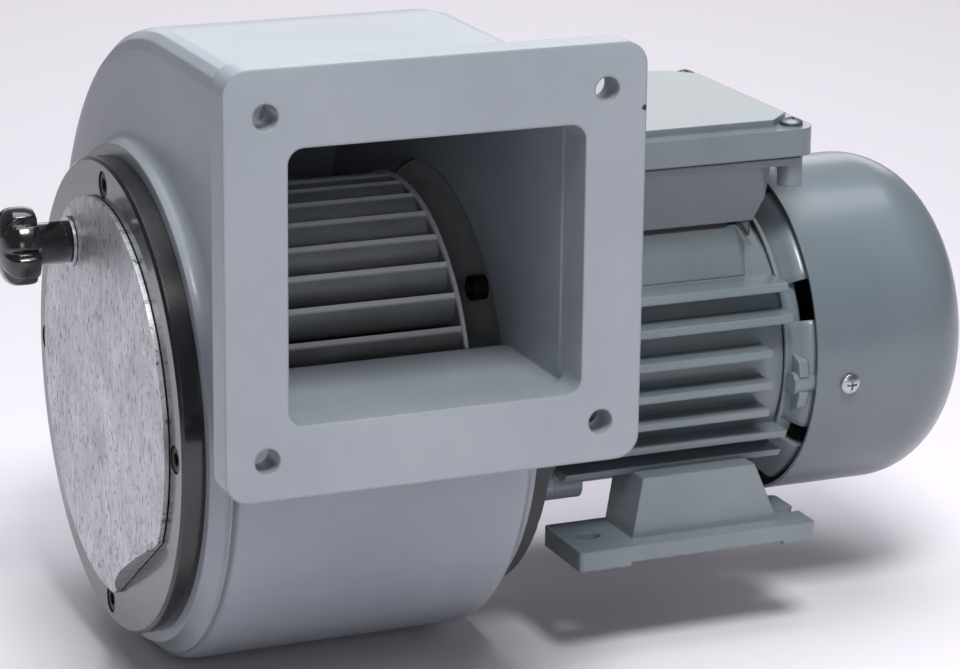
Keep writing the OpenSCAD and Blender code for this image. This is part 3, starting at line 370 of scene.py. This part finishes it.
def cast_piece(name, rings, edge=0.0, segments=3):
    """A closed form through equal rings, in the motor's paint, that rides on the casing."""
    bm = bmesh.new()
    loops = [[bm.verts.new(v) for v in ring] for ring in rings]
    for a, b in zip(loops, loops[1:]):
        for i in range(len(a)):
            j = (i + 1) % len(a)
            bm.faces.new((a[i], a[j], b[j], b[i]))
    bm.faces.new(loops[0][::-1])
    bm.faces.new(loops[-1])
    o = smooth_piece(name, bm, MOTOR)
    if edge:
        b = o.modifiers.new("edge", "BEVEL")
        b.width, b.segments, b.limit_method = edge, segments, "ANGLE"
        b.angle_limit = math.radians(35)
        w = o.modifiers.new("normals", "WEIGHTED_NORMAL")
        w.keep_sharp = True
    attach(o, "casing")


# Step under the terminal box, in two halves. Its top stops just short of the gasket, and its
# foot stands among the top fins. Both are given as height and distance from the middle.
gasket_lo, gasket_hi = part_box("box_gasket")
STEP_TOP = (gasket_lo.z - 0.0002, gasket_hi.y - 0.0006)
STEP_FOOT = (AXIS_Z + 0.0350, 0.0455)
STEP_HALF_X = gasket_hi.x + 0.0013
STEP_INNER_Y = 0.030
STEP_CUT = 0.009


def step_ring(side, z, face_y):
    """Plan of half the step at one height: a straight side with its two corners cut across."""
    half = [(STEP_HALF_X, STEP_INNER_Y), (STEP_HALF_X, face_y - STEP_CUT),
            (STEP_HALF_X - STEP_CUT, face_y)]
    plan = [(-x, y) for x, y in half] + half[::-1]
    return [(x, side * y, z) for x, y in plan]


for side, tag in SIDES:
    cast_piece("box_seat_" + tag, [step_ring(side, *STEP_FOOT), step_ring(side, *STEP_TOP)],
               edge=0.0012)

# Flared seat between the rear shield and the cover's mouth, left open between the fins. The
# arcs are in degrees above level, and the profile is in distance along the shaft and radius.
MOUTH_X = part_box("fan_cover")[0].x
SEAT_ARCS = {"top": (32.0, 72.0), "middle": (-24.0, 17.0), "low": (-60.0, -33.0)}
SEAT_STEPS = 18
SEAT_PROFILE = ((0.0400, 0.0560), (0.0400, 0.0578), (0.0430, 0.0600), (0.0455, 0.0630),
                (0.0480, 0.0655), (MOUTH_X + 0.0030, 0.0664), (MOUTH_X + 0.0030, 0.0640),
                (0.0480, 0.0625), (0.0470, 0.0590))
for side, tag in SIDES:
    for part, (a0, a1) in SEAT_ARCS.items():
        rings = []
        for i in range(SEAT_STEPS + 1):
            a = math.radians(a0 + (a1 - a0) * i / SEAT_STEPS)
            across, above = side * math.cos(a), math.sin(a)
            rings.append([(x, r * across, AXIS_Z + r * above) for x, r in SEAT_PROFILE])
        cast_piece("cover_seat_" + part + "_" + tag, rings)

# Notched ear of the cover's screw post, on the seat, one to each side. The outline is in
# distance from the middle and depth below the post's own axis.
POST_R, POST_A = 0.063, math.radians(6)
EAR_X = (0.0425, 0.0470)
EAR = ((0.0590, -0.012), (0.0655, -0.0095), (0.0672, -0.0035), (0.0630, -0.0008),
       (0.0630, 0.0008), (0.0672, 0.0035), (0.0650, 0.0100), (0.0590, 0.0135))
for side, tag in SIDES:
    ear_z = AXIS_Z + side * POST_R * math.sin(POST_A)
    cast_piece("post_ear_" + tag,
               [[(x, side * y, ear_z - dz) for y, dz in EAR] for x in EAR_X],
               edge=0.0006, segments=2)


def knob_cap():
    """Domed phenolic knob with seven shallow flutes, turned about the stud, bored for it."""
    lo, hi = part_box("damper_knob")
    stud_lo, stud_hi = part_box("damper_stud")
    cy, cz = (stud_lo.y + stud_hi.y) / 2, (stud_lo.z + stud_hi.z) / 2
    bore = (stud_hi.z - stud_lo.z) / 2 + 0.0003
    x0, length = lo.x, hi.x - lo.x
    bore_end = stud_lo.x - x0 - 0.0005
    # distance along the axis from the dome's tip, radius, and how deep the flutes are there
    profile = [(0.0000, 0.0000, 0.0), (0.0001, 0.0030, 0.0), (0.0005, 0.0065, 0.0),
               (0.0012, 0.0095, 0.1), (0.0022, 0.0121, 0.5), (0.0034, 0.0139, 0.85),
               (0.0050, 0.0151, 1.0), (0.0068, 0.0156, 1.0), (0.0110, 0.0157, 1.0),
               (0.0135, 0.0155, 1.0), (0.0146, 0.0149, 1.0), (0.0150, 0.0138, 0.9),
               (0.0150, 0.0100, 0.0), (0.0151, 0.0086, 0.0), (0.0156, 0.0084, 0.0),
               (length - 0.0004, 0.0084, 0.0), (length, 0.0080, 0.0), (length, bore, 0.0),
               (bore_end, bore, 0.0), (bore_end, 0.0000, 0.0)]
    around, flutes, flute_depth, flute_share = 168, 7, 0.0026, 0.42
    bm = bmesh.new()
    rings = []
    for d, r, f in profile:
        if r == 0.0:
            rings.append([bm.verts.new((x0 + d, cy, cz))])
            continue
        ring = []
        for k in range(around):
            a = 2 * math.pi * k / around
            t = abs(((a * flutes / (2 * math.pi)) % 1.0) - 0.5) * 2
            notch = max(0.0, 1.0 - t / flute_share)
            notch = notch * notch * (3 - 2 * notch)
            rr = r - f * flute_depth * notch
            ring.append(bm.verts.new((x0 + d, cy + rr * math.cos(a), cz + rr * math.sin(a))))
        rings.append(ring)
    for a, b in zip(rings, rings[1:]):
        for k in range(around):
            n = (k + 1) % around
            if len(a) == 1:
                bm.faces.new((a[0], b[k], b[n]))
            elif len(b) == 1:
                bm.faces.new((a[k], b[0], a[n]))
            else:
                bm.faces.new((a[k], b[k], b[n], a[n]))
    o = smooth_piece("knob_cap", bm, KNOB)
    o.data.set_sharp_from_angle(angle=math.radians(50))
    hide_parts("damper_knob")
    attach(o, "knob")


knob_cap()


# ---------------------------------------------------------------- floor, light, camera
def plain(name, colour, rough=0.7):
    m = bpy.data.materials.new(name)
    m.use_nodes = True
    b = m.node_tree.nodes["Principled BSDF"]
    b.inputs["Base Color"].default_value = colour
    b.inputs["Roughness"].default_value = rough
    return m


def sweep():
    """Floor that curves up into a backdrop far behind the object, square to the camera."""
    near, bend, curve_r, half_w, height, steps = -3.0, 2.2, 0.8, 4.0, 4.0, 12
    pts = [(near, 0.0), (bend, 0.0)]
    for i in range(1, steps + 1):
        t = math.radians(90 * i / steps)
        pts.append((bend + curve_r * math.sin(t), curve_r - curve_r * math.cos(t)))
    pts.append((bend + curve_r, height))
    verts, faces = [], []
    for y, z in pts:
        verts += [(-half_w, y, FLOOR_Z + z), (half_w, y, FLOOR_Z + z)]
    for i in range(len(pts) - 1):
        faces.append((2 * i, 2 * i + 1, 2 * i + 3, 2 * i + 2))
    me = bpy.data.meshes.new("backdrop")
    me.from_pydata(verts, [], faces)
    for p in me.polygons:
        p.use_smooth = True
    o = bpy.data.objects.new("backdrop", me)
    o.rotation_euler = (0, 0, math.radians(-23))
    bpy.context.scene.collection.objects.link(o)
    me.materials.append(plain("backdrop_paper", srgb(230, 225, 231)))


sweep()


def area(name, loc, target, size, power, colour=(1, 1, 1)):
    """A rectangular soft light of this size and power, turned to its target."""
    d = bpy.data.lights.new(name, "AREA")
    d.shape = "RECTANGLE"
    d.size, d.size_y = size
    d.energy = power
    d.color = colour
    o = bpy.data.objects.new(name, d)
    o.location = loc
    o.rotation_mode = "QUATERNION"
    o.rotation_quaternion = (Vector(target) - Vector(loc)).to_track_quat("-Z", "Y")
    bpy.context.scene.collection.objects.link(o)
    return o


area("key_top", (0.06, 0.22, 1.60), (-0.05, 0, 0.08), (1.6, 1.4), 22.0, (0.93, 0.96, 1.0))
area("front_high", (-0.16, -0.80, 1.40), (-0.15, -0.1, 0.04), (0.5, 0.4), 18.0)
area("lens_fill", (-0.50, -1.35, 0.45), (-0.12, -0.05, 0.08), (0.5, 0.5), 2.0)
area("paper_wash", (0.3, 0.7, 1.3), (1.0, 2.9, 0.9), (1.6, 0.8), 6.0, (1.0, 0.97, 1.0))
# The card behind gives level surfaces their pale sheen and stays out of the picture.
card = area("rear_card", (0.55, 1.66, 0.62), (-0.05, 0, 0.12), (1.8, 0.6), 4.3)
card.visible_camera = False

world = bpy.data.worlds.new("studio")
bpy.context.scene.world = world
world.use_nodes = True
bg = world.node_tree.nodes["Background"]
bg.inputs["Color"].default_value = (0.93, 0.92, 0.95, 1)
bg.inputs["Strength"].default_value = 0.14

cam_data = bpy.data.cameras.new("camera")
cam = bpy.data.objects.new("camera", cam_data)
bpy.context.scene.collection.objects.link(cam)
bpy.context.scene.camera = cam
cam_data.sensor_width = 36.0
cam_data.lens = 129.93
cam_data.shift_x, cam_data.shift_y = 0.00839, -0.00399
AZ, EL, ROLL = math.radians(23.05), math.radians(16.37), math.radians(-0.62)
AIM = Vector((-0.14887, 0, AXIS_Z))
ASIDE, ABOVE, BACK = 0.07013, 0.01821, 1.38068
right = Vector((math.cos(AZ), -math.sin(AZ), 0))
up = Vector((math.sin(AZ) * math.sin(EL), math.cos(AZ) * math.sin(EL), math.cos(EL)))
ahead = Vector((math.sin(AZ) * math.cos(EL), math.cos(AZ) * math.cos(EL), -math.sin(EL)))
cam.location = AIM + ASIDE * right + ABOVE * up - BACK * ahead
rolled_right = math.cos(ROLL) * right - math.sin(ROLL) * up
rolled_up = math.sin(ROLL) * right + math.cos(ROLL) * up
cam.rotation_mode = "QUATERNION"
cam.rotation_quaternion = Matrix((rolled_right, rolled_up, -ahead)).transposed().to_quaternion()
cam_data.clip_start, cam_data.clip_end = 0.05, 50

bpy.context.scene.view_settings.view_transform = "Standard"
